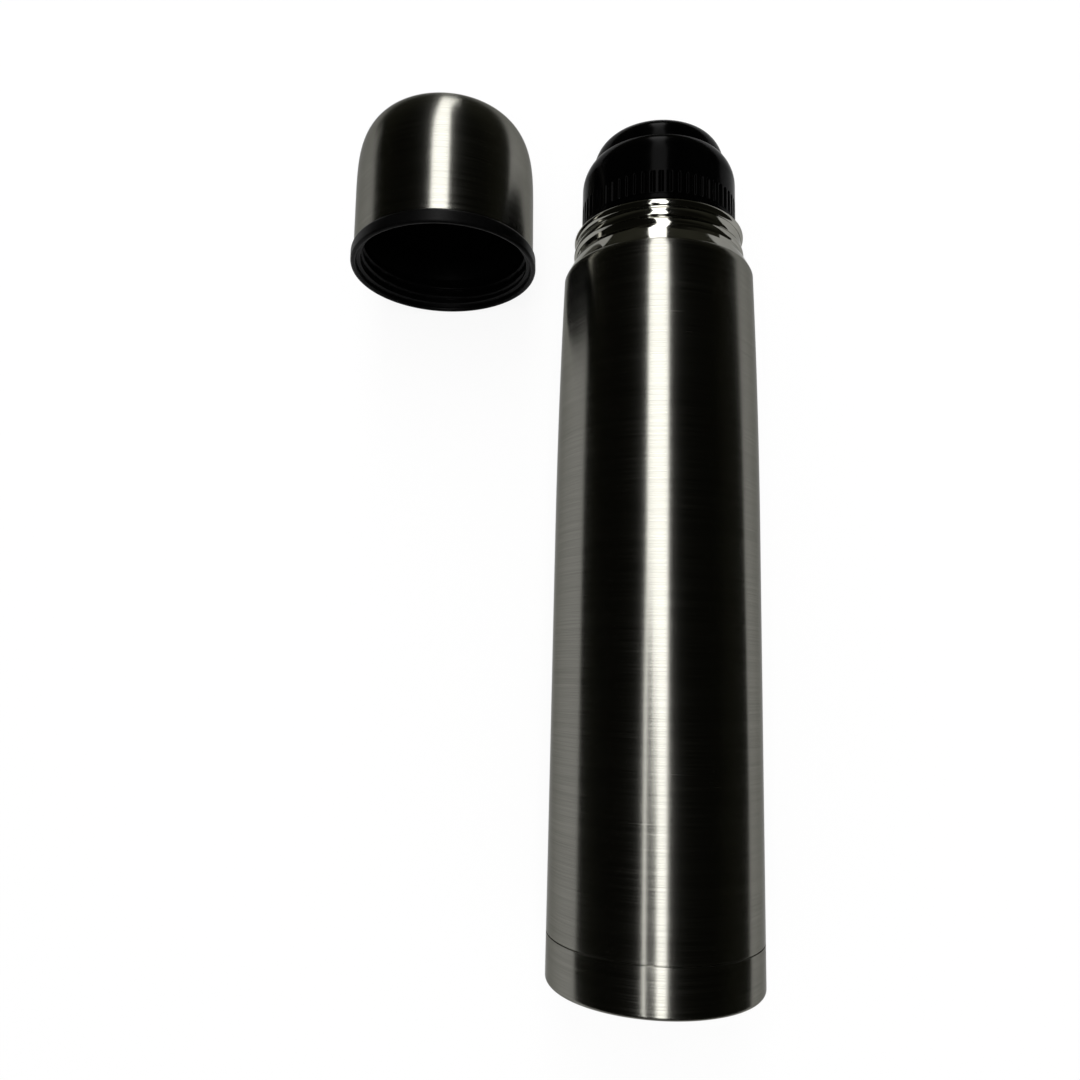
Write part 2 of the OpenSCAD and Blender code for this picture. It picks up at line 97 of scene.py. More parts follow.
def fillet(corners, steps=6):
    """Outline in mm with rounded corners. Each corner is (radius, height, rounding)."""
    points = []
    for i, (r, y, rounding) in enumerate(corners):
        here = Vector((r, y))
        if rounding <= 0:
            points.append((r, y))
            continue
        before = (Vector(corners[i - 1][:2]) - here).normalized()
        after = (Vector(corners[(i + 1) % len(corners)][:2]) - here).normalized()
        half = before.angle(after) / 2
        start = here + before * rounding / math.tan(half)
        centre = here + (before + after).normalized() * rounding / math.sin(half)
        turn = (start - centre).angle_signed(here + after * rounding / math.tan(half) - centre)
        for k in range(steps + 1):
            spoke = start - centre
            spoke.rotate(Matrix.Rotation(-turn * k / steps, 2))
            points.append(tuple(centre + spoke))
    return points


def turned(name, outline, steps=256):
    """Mesh spun from a closed outline of (radius, height) points in mm about the Y axis."""
    rings, points, faces = [], [], []
    for r, y in outline:
        count = steps if r > ON_AXIS else 1
        rings.append(range(len(points), len(points) + count))
        points += [(r * math.sin(2 * math.pi * k / steps) * MM, y * MM,
                    r * math.cos(2 * math.pi * k / steps) * MM) for k in range(count)]
    for i, ring in enumerate(rings):
        other = rings[(i + 1) % len(rings)]
        if len(ring) == 1 and len(other) == 1:
            continue
        for k in range(steps):
            n = (k + 1) % steps
            quad = [ring[k % len(ring)], ring[n % len(ring)],
                    other[n % len(other)], other[k % len(other)]]
            faces.append(list(dict.fromkeys(quad)))
    mesh = bpy.data.meshes.new(name)
    mesh.from_pydata(points, [], faces)
    tidy = bmesh.new()
    tidy.from_mesh(mesh)
    bmesh.ops.recalc_face_normals(tidy, faces=tidy.faces)
    tidy.to_mesh(mesh)
    tidy.free()
    mesh.shade_smooth()
    mesh.set_sharp_from_angle(angle=SHARP_EDGE)
    piece = bpy.data.objects.new(name, mesh)
    bpy.context.scene.collection.objects.link(piece)
    return piece


def material_base(name):
    """A new material, with its tree, its shader and the place on the piece that its patterns follow."""
    material = bpy.data.materials.new(name)
    material.use_nodes = True
    tree = material.node_tree
    place = node(tree, "ShaderNodeTexCoord").outputs["Object"]
    return material, tree, tree.nodes["Principled BSDF"], place


def brushed_steel(name, at=(0, 0, 0), turn=(0, 0, 0)):
    """Belt-brushed stainless. Its fine lines run round the Y axis of a piece that lies at `at`, turned.

    The real lines are about 0.05 mm wide; they are drawn five times as coarse, so that they show, with
    a second set twice as coarse again among them.
    """
    line_width, line_length, broad_by = 0.25 * MM, 30 * MM, 2.0
    steel, tree, shader, place = material_base(name)
    own = node(tree, "ShaderNodeMapping", {"Vector": place, "Location": at, "Rotation": turn},
               vector_type="TEXTURE")
    axes = node(tree, "ShaderNodeSeparateXYZ", {0: own}).outputs
    flat = node(tree, "ShaderNodeCombineXYZ", {"X": axes["X"], "Z": axes["Z"]})
    radius = node(tree, "ShaderNodeVectorMath", {0: flat}, operation="LENGTH").outputs["Value"]
    # Counts along the side and on across an end, so that the lines ring the flat faces too
    along = node(tree, "ShaderNodeMath", {0: axes["Y"], 1: radius}, operation="SUBTRACT")
    lines_at = node(tree, "ShaderNodeCombineXYZ", {"X": axes["X"], "Y": along, "Z": axes["Z"]})
    line_size = (line_length, line_width, line_length)
    fine_at = node(tree, "ShaderNodeVectorMath", {0: lines_at, 1: line_size}, operation="DIVIDE")
    broad_at = node(tree, "ShaderNodeVectorMath", {0: fine_at, 1: (broad_by,) * 3}, operation="DIVIDE")
    fine = node(tree, "ShaderNodeTexNoise", {"Vector": fine_at, "Scale": 1.0, "Detail": 3.0,
                                             "Roughness": 0.65})
    broad = node(tree, "ShaderNodeTexNoise", {"Vector": broad_at, "Scale": 1.0, "Detail": 2.0})
    lines = node(tree, "ShaderNodeMix", {"Factor": 0.3, 2: fine, 3: broad}, data_type="FLOAT")
    tone = node(tree, "ShaderNodeMapRange", {"Value": lines, "From Min": 0.3, "From Max": 0.7})
    colour = node(tree, "ShaderNodeMix", {"Factor": tone, 6: linear("#7C7B75"), 7: linear("#9A9992")},
                  data_type="RGBA")
    tree.links.new(colour.outputs[2], shader.inputs["Base Color"])
    # Handling leaves slow clouds a few centimetres wide in the sheen
    clouds = node(tree, "ShaderNodeTexNoise", {"Vector": own, "Scale": 22.0, "Detail": 3.0})
    sheen = node(tree, "ShaderNodeMapRange", {"Value": clouds, "From Min": 0.3, "From Max": 0.7,
                                              "To Min": 0.16, "To Max": 0.19})
    rough = node(tree, "ShaderNodeMath", {0: tone, 1: 0.09, 2: sheen}, operation="MULTIPLY_ADD")
    tree.links.new(rough.outputs[0], shader.inputs["Roughness"])
    bump = node(tree, "ShaderNodeBump", {"Strength": 0.08, "Distance": 0.03 * MM, "Height": lines})
    tree.links.new(bump.outputs[0], shader.inputs["Normal"])
    # The lines spread a light across themselves, which is along the piece
    round_axis = node(tree, "ShaderNodeTangent", direction_type="RADIAL", axis="Y")
    tree.links.new(round_axis.outputs[0], shader.inputs["Tangent"])
    shader.inputs["Metallic"].default_value = 1.0
    shader.inputs["Anisotropic"].default_value = 0.85
    shader.inputs["Anisotropic Rotation"].default_value = 0.25
    # Keeps the steel as grey along its sides, where it is seen at a slant, as it is in the middle
    shader.inputs["Specular Tint"].default_value = linear("#B8B8B5")
    return steel


shell_low, shell_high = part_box("outer_shell")
BODY_R = (shell_high.x - shell_low.x) / 2 / MM
SHELL_TOP = shell_high.y / MM
SKIRT_END = shell_low.y / MM
SEAM_TOP = 15.5
SEAM_ROUND = 0.1
SHEET = 0.5
NARROW_FROM = 150.0
NARROW_BY = 1.4
SHELL_EDGE_H = 0.8
SHELL_EDGE_DROP = 0.4
NARROW_STEPS = 48


def body_radius(y):
    """Outer radius of the tube at height y, in mm."""
    share = max(0.0, y - NARROW_FROM) / (SHELL_TOP - SHELL_EDGE_H - NARROW_FROM)
    return BODY_R - NARROW_BY * share ** 2


tube_bore_r = BODY_R - SHEET
skirt_bore_r = BODY_R - 2 * SHEET
shoulder_r = BODY_R - NARROW_BY - SHELL_EDGE_DROP
narrow = [NARROW_FROM + (SHELL_TOP - SHELL_EDGE_H - NARROW_FROM) * i / NARROW_STEPS
          for i in range(NARROW_STEPS + 1)]
tube_outline = (
    [(tube_bore_r, SKIRT_END), (tube_bore_r, SEAM_TOP)]
    + fillet([(tube_bore_r, SEAM_TOP, 0), (BODY_R, SEAM_TOP, SEAM_ROUND),
              (BODY_R, NARROW_FROM, 0)])[1:-1]
    + [(body_radius(y), y) for y in narrow]
    + [(shoulder_r, SHELL_TOP), (shoulder_r - SHEET, SHELL_TOP)]
    + [(body_radius(y) - SHEET, y) for y in reversed(narrow)]
    + [(tube_bore_r, SEAM_TOP + SHEET), (skirt_bore_r, SEAM_TOP + SHEET), (skirt_bore_r, SKIRT_END)])
body_tube = turned("body_tube", tube_outline)
body_steel = brushed_steel("belt_brushed_stainless")
body_tube.data.materials.append(body_steel)
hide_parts("outer_shell")
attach(body_tube, "flask")


# ---------------------------------------------------------------------------------------------------
# Base cover. A shallow stainless cap pushed over the end of the tube and brushed with it. Its edge is
# rounded, a shallow ring is pressed into its underside, and a narrow dark seam is left above it.
EDGE_ROUND = 1.5
SEAM = 0.4
RING_OUT = 9.0
RING_W = 1.5
RING_DEPTH = 0.25
RING_SLOPE = 0.3
RING_ROUND = 0.2
INNER_CHAMFER = 1

ring_out_r = BODY_R - RING_OUT
ring_in_r = ring_out_r - RING_W
cover_top = SEAM_TOP - SEAM
cover_outline = (
    [(0, 0)]
    + fillet([(ring_in_r, 0, RING_ROUND), (ring_in_r + RING_SLOPE, RING_DEPTH, RING_ROUND),
              (ring_out_r - RING_SLOPE, RING_DEPTH, RING_ROUND), (ring_out_r, 0, RING_ROUND),
              (BODY_R, 0, EDGE_ROUND), (BODY_R, cover_top, SEAM_ROUND),
              (tube_bore_r, cover_top, 0)], steps=10)
    + [(tube_bore_r, EDGE_ROUND), (tube_bore_r - INNER_CHAMFER, SHEET), (0, SHEET)])
base_cover = turned("base_cap", cover_outline)
base_cover.data.materials.append(body_steel)
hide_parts("base_cover")
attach(base_cover, "flask")


# ---------------------------------------------------------------------------------------------------
# Neck. A drawn and polished stainless collar: a nearly straight shoulder, a short neck with a coarse
# right-hand thread rolled into it for the cup, and the start of the rim's bead. It mirrors the room in
# thin bright and dark lines.
GROWN_EDGE = math.radians(50)


def polished_steel(name):
    """Mirror-polished stainless: a bright metal with a trace of polishing haze."""
    steel, tree, shader, place = material_base(name)
    haze = node(tree, "ShaderNodeTexNoise", {"Vector": place, "Scale": 90.0, "Detail": 4.0})
    rough = node(tree, "ShaderNodeMapRange", {"Value": haze, "From Min": 0.35, "From Max": 0.7,
                                              "To Min": 0.06, "To Max": 0.11})
    tree.links.new(rough.outputs[0], shader.inputs["Roughness"])
    tint = node(tree, "ShaderNodeMix", {"Factor": haze, 6: linear("#9D9C95"), 7: linear("#B4B3AC")},
                data_type="RGBA")
    tree.links.new(tint.outputs[2], shader.inputs["Base Color"])
    # Slow waves left by the drawing, about 4 mm long
    waves = node(tree, "ShaderNodeTexNoise", {"Vector": place, "Scale": 250.0, "Detail": 1.0})
    bump = node(tree, "ShaderNodeBump", {"Strength": 0.08, "Distance": 0.04 * MM, "Height": waves})
    tree.links.new(bump.outputs[0], shader.inputs["Normal"])
    shader.inputs["Metallic"].default_value = 1.0
    # Keeps the sides of the neck from mirroring brighter than its middle
    shader.inputs["Specular Tint"].default_value = linear("#CBCBC8")
    return steel


def shape_tree(name, titles, changes_shape=True):
    """Geometry Nodes tree with the titled sizes as inputs. Returns it with what it is given."""
    tree = bpy.data.node_groups.new(name, "GeometryNodeTree")
    if changes_shape:
        tree.interface.new_socket("Geometry", in_out="INPUT", socket_type="NodeSocketGeometry")
    for title in titles:
        tree.interface.new_socket(title, in_out="INPUT", socket_type="NodeSocketFloat")
    tree.interface.new_socket("Geometry", in_out="OUTPUT", socket_type="NodeSocketGeometry")
    return tree, node(tree, "NodeGroupInput").outputs


def end_tree(tree, shape, material):
    """Ends a tree: what it has made becomes real geometry in its material."""
    real = node(tree, "GeometryNodeRealizeInstances", {0: shape})
    done = node(tree, "GeometryNodeSetMaterial", {"Geometry": real, "Material": material})
    node(tree, "NodeGroupOutput", {0: done})


def pushed(tree, given, flat, amount):
    """Moves the points of the given shape by amount away from the Y axis, along flat."""
    outward = node(tree, "ShaderNodeVectorMath", {0: flat}, operation="NORMALIZE")
    offset = node(tree, "ShaderNodeVectorMath", {0: outward, "Scale": amount}, operation="SCALE")
    return node(tree, "GeometryNodeSetPosition", {"Geometry": given["Geometry"], "Offset": offset})


def rolled_thread(name, material):
    """Geometry Nodes tree that raises a right-hand helical ridge out of a surface turned about Y."""
    tree, given = shape_tree(
        name, ("Pitch", "Turns", "Foot", "Start", "Height", "Crest", "Flank", "Below"))
    axes = node(tree, "ShaderNodeSeparateXYZ", {0: node(tree, "GeometryNodeInputPosition")}).outputs
    # Share of a turn from the thread's start, and height above its foot in pitches
    back = node(tree, "ShaderNodeMath", {0: axes["Z"], 1: -1.0}, operation="MULTIPLY")
    angle = node(tree, "ShaderNodeMath", {0: back, 1: axes["X"]}, operation="ARCTAN2")
    past = node(tree, "ShaderNodeMath", {0: angle, 1: given["Start"]}, operation="SUBTRACT")
    rounds = node(tree, "ShaderNodeMath", {0: past, 1: 2 * math.pi}, operation="DIVIDE")
    share = node(tree, "ShaderNodeMath", {0: rounds}, operation="FRACT")
    above = node(tree, "ShaderNodeMath", {0: axes["Y"], 1: given["Foot"]}, operation="SUBTRACT")
    height = node(tree, "ShaderNodeMath", {0: above, 1: given["Pitch"]}, operation="DIVIDE")
    # The turn of the ridge that is nearest, and how far off its middle the point lies
    gap = node(tree, "ShaderNodeMath", {0: height, 1: share}, operation="SUBTRACT")
    raised = node(tree, "ShaderNodeMath", {0: gap, 1: given["Below"]}, operation="ADD")
    whole = node(tree, "ShaderNodeMath", {0: raised}, operation="FLOOR")
    turn = node(tree, "ShaderNodeMath", {0: share, 1: whole}, operation="ADD")
    miss = node(tree, "ShaderNodeMath", {0: height, 1: turn}, operation="SUBTRACT")
    # Below is the share of a ridge's width that lies under its crest, so 0.5 gives even flanks
    rest = node(tree, "ShaderNodeMath", {0: 1.0, 1: given["Below"]}, operation="SUBTRACT")
    over = node(tree, "ShaderNodeMath", {0: miss, 1: rest}, operation="DIVIDE")
    fall = node(tree, "ShaderNodeMath", {0: miss, 1: -1.0}, operation="MULTIPLY")
    under = node(tree, "ShaderNodeMath", {0: fall, 1: given["Below"]}, operation="DIVIDE")
    size = node(tree, "ShaderNodeMath", {0: over, 1: under}, operation="MAXIMUM")
    half = node(tree, "ShaderNodeMath", {0: given["Pitch"], 1: 0.5}, operation="MULTIPLY")
    off = node(tree, "ShaderNodeMath", {0: size, 1: half}, operation="MULTIPLY")
    # Rolled metal and moulded plastic round off towards the crest and meet the root at an angle
    slope = node(tree, "ShaderNodeMapRange", {
        "Value": off, "From Min": given["Crest"], "From Max": given["Flank"], "To Max": math.pi / 2})
    rise = node(tree, "ShaderNodeMath", {0: slope}, operation="COSINE")
    # Fades out over a tenth of a turn at both ends, and is nothing beyond them
    left = node(tree, "ShaderNodeMath", {0: given["Turns"], 1: turn}, operation="SUBTRACT")
    nearer = node(tree, "ShaderNodeMath", {0: turn, 1: left}, operation="MINIMUM")
    fade = node(tree, "ShaderNodeMapRange", {"Value": nearer, "From Max": 0.1},
                interpolation_type="SMOOTHSTEP")
    ridge = node(tree, "ShaderNodeMath", {0: rise, 1: fade}, operation="MULTIPLY")
    amount = node(tree, "ShaderNodeMath", {0: ridge, 1: given["Height"]}, operation="MULTIPLY")
    flat = node(tree, "ShaderNodeCombineXYZ", {"X": axes["X"], "Z": axes["Z"]})
    end_tree(tree, pushed(tree, given, flat, amount), material)
    return tree


def kept_shape(piece):
    """The piece's mesh as its modifiers leave it."""
    return bpy.data.meshes.new_from_object(piece.evaluated_get(bpy.context.evaluated_depsgraph_get()))


def grown(piece, tree, sizes):
    """Runs a Geometry Nodes tree on a piece with the named sizes and keeps the result as a mesh."""
    step = piece.modifiers.new("grow", "NODES")
    step.node_group = tree
    for item in tree.interface.items_tree:
        if item.in_out == "INPUT" and item.name in sizes:
            step[item.identifier] = sizes[item.name]
    result = kept_shape(piece)
    piece.modifiers.remove(step)
    piece.data = result
    result.shade_smooth()
    result.set_sharp_from_angle(angle=GROWN_EDGE)


bottle_low, bottle_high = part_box("inner_bottle")
COLLAR_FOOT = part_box("neck_collar")[0].y / MM
RIM_TOP = bottle_high.y / MM
RIM_ROUND = 1.45
BEAD = 0.8
BEAD_GAP = 0.05
COLLAR_GAP = 0.02
COLLAR_EDGE = 0.12
SHOULDER_H = 7.2
SHOULDER_POWER = 1.08
NECK_R = 30.4
CUP_PITCH = 3.85
CUP_TURNS = 1.75
RIDGE = 0.9
RIDGE_TURNS = 1.23
RIDGE_TOP = 5.36
RIDGE_END = 330
RIDGE_BELOW = 0.24
NECK_ROWS = 64
BEAD_ROWS = 10
SHOULDER_ROWS = 32

collar_y = COLLAR_FOOT + COLLAR_GAP
neck_foot = COLLAR_FOOT + SHOULDER_H
neck_end = RIM_TOP - RIM_ROUND - BEAD_GAP
shoulder = [(NECK_R + (shoulder_r - NECK_R) * (1 - (i / SHOULDER_ROWS) ** SHOULDER_POWER),
             COLLAR_FOOT + SHOULDER_H * i / SHOULDER_ROWS) for i in range(SHOULDER_ROWS + 1)]
bead_r = NECK_R + BEAD
bead_turn = math.acos(1 - BEAD / RIM_ROUND)
bead = [(bead_r - RIM_ROUND * (1 - math.cos(bead_turn * i / BEAD_ROWS)),
         neck_end - RIM_ROUND * math.sin(bead_turn * i / BEAD_ROWS)) for i in range(BEAD_ROWS, -1, -1)]
neck_rows = [neck_foot + (bead[0][1] - neck_foot) * i / NECK_ROWS for i in range(1, NECK_ROWS)]
collar_outline = (
    [(shoulder_r - SHEET, collar_y), (shoulder_r - COLLAR_EDGE, collar_y)]
    + [(r, max(y, collar_y + COLLAR_EDGE)) for r, y in shoulder]
    + [(NECK_R, y) for y in neck_rows]
    + bead
    + [(NECK_R - SHEET, neck_end), (NECK_R - SHEET, neck_foot)])
collar = turned("neck_collar_polished", collar_outline, steps=360)
mirror_steel = polished_steel("mirror_polished_stainless")
ridge_run = CUP_PITCH * RIDGE_TURNS
grown(collar, rolled_thread("cup_thread", mirror_steel), {
    "Pitch": CUP_PITCH * MM, "Turns": RIDGE_TURNS, "Foot": (RIM_TOP - RIDGE_TOP - ridge_run) * MM,
    "Start": math.radians(RIDGE_END - 360 * RIDGE_TURNS), "Height": RIDGE * MM, "Crest": 0.0,
    "Flank": CUP_PITCH / 2 * MM, "Below": RIDGE_BELOW})
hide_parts("neck_collar")
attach(collar, "flask")


# ---------------------------------------------------------------------------------------------------
# Inner bottle. Thin stainless, deep drawn: a rolled rim, a mouth with the stopper's thread rolled into
# it, the ledge for the gasket, and the long tube that holds the drink. Only its rim shows when closed.
INNER_R = 32.2
INNER_SHEET = 0.4
MOUTH_R = 25.5
LEDGE_DEPTH = 21.0
LEDGE_W = 2.3
BOTTLE_SHOULDER_H = 14.0
STOPPER_PITCH = 4.0
STOPPER_TURNS = 1.5
STOPPER_RIDGE = 0.9
STOPPER_CREST = 0.4
STOPPER_FLANK = 0.95
THREAD_DEPTH = 6
EVEN_FLANKS = 0.5
PLAIN_BAND = 1

ledge_y = RIM_TOP - LEDGE_DEPTH
ledge_r = MOUTH_R - LEDGE_W
weld_y = bottle_low.y / MM
bend = [(INNER_R + (ledge_r - INNER_R) * (1 - math.cos(math.pi * i / SHOULDER_ROWS)) / 2,
         ledge_y - BOTTLE_SHOULDER_H + (BOTTLE_SHOULDER_H - INNER_SHEET) * i / SHOULDER_ROWS)
        for i in range(SHOULDER_ROWS + 1)]
mouth_foot = ledge_y + PLAIN_BAND
thread_foot = RIM_TOP - THREAD_DEPTH - STOPPER_PITCH * STOPPER_TURNS
mouth_rows = [mouth_foot + (neck_end - mouth_foot) * i / NECK_ROWS for i in range(NECK_ROWS + 1)]
bottle_outline = (
    [(INNER_R + INNER_SHEET, weld_y)]
    + [(r + INNER_SHEET, y) for r, y in bend]
    + [(MOUTH_R + INNER_SHEET, ledge_y - INNER_SHEET)]
    + [(MOUTH_R + INNER_SHEET, y) for y in mouth_rows]
    + fillet([(MOUTH_R + INNER_SHEET, neck_end, 0), (bead_r, neck_end, 0), (bead_r, RIM_TOP, RIM_ROUND),
              (MOUTH_R, RIM_TOP, RIM_ROUND), (MOUTH_R, neck_end, 0)], steps=8)[1:-1]
    + [(MOUTH_R, y) for y in reversed(mouth_rows)]
    + fillet([(MOUTH_R, mouth_foot, 0), (MOUTH_R, ledge_y, 0.3), (ledge_r, ledge_y, 0.2),
              (ledge_r, ledge_y - PLAIN_BAND, 0)])[1:-1]
    + list(reversed(bend))
    + [(INNER_R, weld_y)])
bottle = turned("inner_bottle_drawn", bottle_outline, steps=360)
grown(bottle, rolled_thread("stopper_thread_in_neck", mirror_steel), {
    "Pitch": STOPPER_PITCH * MM, "Turns": STOPPER_TURNS, "Foot": thread_foot * MM, "Start": 0.0,
    "Height": -STOPPER_RIDGE * MM, "Crest": STOPPER_CREST * MM, "Flank": STOPPER_FLANK * MM,
    "Below": EVEN_FLANKS})
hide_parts("inner_bottle")
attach(bottle, "flask")


# ---------------------------------------------------------------------------------------------------
# Pieces inside the body: the two welded bottoms, the getter in the vacuum and the plug that closes it.
# Their plain shapes are the solids' own. The bottoms keep the dull grey skin of the mill.
def grained(name, dark, light, rough, grain_mm, relief_mm, metal=0.0):
    """Material with a fine irregular grain: two tones, a roughness that follows them, and a relief."""
    material, tree, shader, place = material_base(name)
    grain = node(tree, "ShaderNodeTexNoise", {"Vector": place, "Scale": 1 / (grain_mm * MM),
                                              "Detail": 3.0})
    patches = node(tree, "ShaderNodeTexNoise", {"Vector": place, "Scale": 60.0, "Detail": 3.0})
    blend = node(tree, "ShaderNodeMix", {"Factor": 0.6, 2: grain, 3: patches}, data_type="FLOAT")
    spread = node(tree, "ShaderNodeMapRange", {"Value": blend, "From Min": 0.35, "From Max": 0.65})
    colour = node(tree, "ShaderNodeMix", {"Factor": spread, 6: linear(dark), 7: linear(light)},
                  data_type="RGBA")
    tree.links.new(colour.outputs[2], shader.inputs["Base Color"])
    gloss = node(tree, "ShaderNodeMapRange", {"Value": spread, "To Min": rough[0], "To Max": rough[1]})
    tree.links.new(gloss.outputs[0], shader.inputs["Roughness"])
    bump = node(tree, "ShaderNodeBump", {"Strength": 0.5, "Distance": relief_mm * MM, "Height": grain})
    tree.links.new(bump.outputs[0], shader.inputs["Normal"])
    shader.inputs["Metallic"].default_value = metal
    return material


def finish_node(name, material):
    """Gives a solid that stays in view its finish."""
    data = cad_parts[name].data
    data.materials.clear()
    data.materials.append(material)


# Cold-rolled sheet as it comes: even grey, softly mirroring, with the rolls' faint mottle
mill_steel = grained("mill_finish_stainless", "#8E8D89", "#A3A29D", (0.24, 0.36), 0.5, 0.01, metal=1.0)
# Zirconium alloy powder pressed to a pellet: dark, dull and gritty
getter_powder = grained("pressed_getter_powder", "#3A3A3C", "#55555A", (0.5, 0.7), 0.3, 0.05, metal=1.0)
# Nickel braze that flowed and froze: pale gold with a rippled skin
braze_metal = grained("frozen_braze", "#9C8A66", "#B7A67F", (0.2, 0.35), 0.8, 0.08, metal=1.0)
finish_node("outer_bottom", mill_steel)
finish_node("inner_bottom", mill_steel)
finish_node("getter", getter_powder)
finish_node("vacuum_seal", braze_metal)


# ---------------------------------------------------------------------------------------------------
# Stopper cap. Black gloss plastic: a lower band cut with fine upright finger grooves, a smooth flank,
# and a shoulder that rounds over to the hole of the button.
def grooved_band(name, material):
    """Geometry Nodes tree that presses a ring of upright grooves into a surface turned about Y."""
    tree, given = shape_tree(name, ("Count", "Radius", "Depth", "Width", "Foot", "Top"))
    axes = node(tree, "ShaderNodeSeparateXYZ", {0: node(tree, "GeometryNodeInputPosition")}).outputs
    # Distance round the cap from the middle of the nearest groove, as a share of half its width
    back = node(tree, "ShaderNodeMath", {0: axes["Z"], 1: -1.0}, operation="MULTIPLY")
    angle = node(tree, "ShaderNodeMath", {0: back, 1: axes["X"]}, operation="ARCTAN2")
    pitch = node(tree, "ShaderNodeMath", {0: 2 * math.pi, 1: given["Count"]}, operation="DIVIDE")
    count = node(tree, "ShaderNodeMath", {0: angle, 1: pitch}, operation="DIVIDE")
    middle = node(tree, "ShaderNodeMath", {0: count}, operation="ROUND")
    miss = node(tree, "ShaderNodeMath", {0: count, 1: middle}, operation="SUBTRACT")
    size = node(tree, "ShaderNodeMath", {0: miss}, operation="ABSOLUTE")
    turn = node(tree, "ShaderNodeMath", {0: size, 1: pitch}, operation="MULTIPLY")
    across = node(tree, "ShaderNodeMath", {0: turn, 1: given["Radius"]}, operation="MULTIPLY")
    half = node(tree, "ShaderNodeMath", {0: given["Width"], 1: 0.5}, operation="MULTIPLY")
    out = node(tree, "ShaderNodeMath", {0: across, 1: half}, operation="DIVIDE")
    hollow = node(tree, "ShaderNodeMapRange", {"Value": out, "To Min": 1.0, "To Max": 0.0},
                  interpolation_type="SMOOTHERSTEP")
    # Runs out at both ends of the band
    above = node(tree, "ShaderNodeMath", {0: axes["Y"], 1: given["Foot"]}, operation="SUBTRACT")
    below = node(tree, "ShaderNodeMath", {0: given["Top"], 1: axes["Y"]}, operation="SUBTRACT")
    edge = node(tree, "ShaderNodeMath", {0: above, 1: below}, operation="MINIMUM")
    ends = node(tree, "ShaderNodeMapRange", {"Value": edge, "From Max": GRIP_FADE * MM},
                interpolation_type="SMOOTHSTEP")
    # Only the outside of the wall is grooved
    flat = node(tree, "ShaderNodeCombineXYZ", {"X": axes["X"], "Z": axes["Z"]})
    radius = node(tree, "ShaderNodeVectorMath", {0: flat}, operation="LENGTH").outputs["Value"]
    skin = node(tree, "ShaderNodeMath", {0: given["Radius"], 1: GRIP_SKIN * MM}, operation="SUBTRACT")
    outside = node(tree, "ShaderNodeMath", {0: radius, 1: skin}, operation="GREATER_THAN")
    cut = node(tree, "ShaderNodeMath", {0: hollow, 1: ends}, operation="MULTIPLY")
    sunk = node(tree, "ShaderNodeMath", {0: cut, 1: outside}, operation="MULTIPLY")
    depth = node(tree, "ShaderNodeMath", {0: sunk, 1: given["Depth"]}, operation="MULTIPLY")
    inward = node(tree, "ShaderNodeMath", {0: depth, 1: -1.0}, operation="MULTIPLY")
    end_tree(tree, pushed(tree, given, flat, inward), material)
    return tree


cap_low, cap_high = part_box("stopper_cap")
CAP_FOOT = cap_low.y / MM
CAP_R = (cap_high.x - cap_low.x) / 2 / MM
CAP_WALL = 2.2
GRIP_H = 8.5
GRIP_COUNT = 60
GRIP_DEPTH = 0.6
GRIP_W = 2.1
GRIP_FOOT = 0.4
GRIP_FADE = 0.4
GRIP_SKIN = 0.5
FLANK_H = 16.2
CAP_ROUND_W = 10.8
CAP_ROUND_H = 11.7
CAP_LAND = 3.5
CAP_LIP_W = 0.5
CAP_ROOF_H = 20.8
GRIP_ROWS = 24
CAP_ROUND_ROWS = 16

# Injection-moulded ABS off a polished tool: deep black with a trace of orange peel. Its gloss is kept
# weak, so that the window draws only faint grey streaks on it.
gloss_black = grained("gloss_black_abs", "#010101", "#020202", (0.14, 0.20), 1.6, 0.01)
gloss_black.node_tree.nodes["Principled BSDF"].inputs["Specular IOR Level"].default_value = 0.02
centre_r = CAP_R - CAP_ROUND_W
hole_r = CAP_R - CAP_LAND
cap_bore_r = CAP_R - CAP_WALL
cap_edge_angle = math.acos((hole_r + CAP_LIP_W - centre_r) / CAP_ROUND_W)
flank_y = CAP_FOOT + FLANK_H
roof_y = CAP_FOOT + CAP_ROOF_H
grip_y, grip_top = CAP_FOOT + GRIP_FOOT, CAP_FOOT + GRIP_H
cap_angles = [cap_edge_angle * i / CAP_ROUND_ROWS for i in range(CAP_ROUND_ROWS + 1)]
cap_round = [(centre_r + CAP_ROUND_W * math.cos(a), flank_y + CAP_ROUND_H * math.sin(a))
             for a in cap_angles]
lip_y = cap_round[-1][1]
# The rows just over the grooves keep the flank's shading clear of them
cap_outline = (
    fillet([(cap_bore_r, CAP_FOOT, 0), (CAP_R, CAP_FOOT, 0.3), (CAP_R, grip_top, 0)])[:-1]
    + [(CAP_R, grip_y + (GRIP_H - GRIP_FOOT) * i / GRIP_ROWS) for i in range(GRIP_ROWS + 1)]
    + [(CAP_R, grip_top + gap) for gap in (0.05, 0.4, 2.5)]
    + cap_round
    + fillet([cap_round[-1] + (0,), (hole_r, lip_y, 0.35), (hole_r, roof_y, 0)])[1:]
    + [(cap_bore_r, roof_y)])
cap = turned("stopper_grip_cap", cap_outline, steps=GRIP_COUNT * 16)
grown(cap, grooved_band("finger_grooves", gloss_black), {
    "Count": float(GRIP_COUNT), "Radius": CAP_R * MM, "Depth": GRIP_DEPTH * MM, "Width": GRIP_W * MM,
    "Foot": grip_y * MM, "Top": grip_top * MM})
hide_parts("stopper_cap")
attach(cap, "stopper")


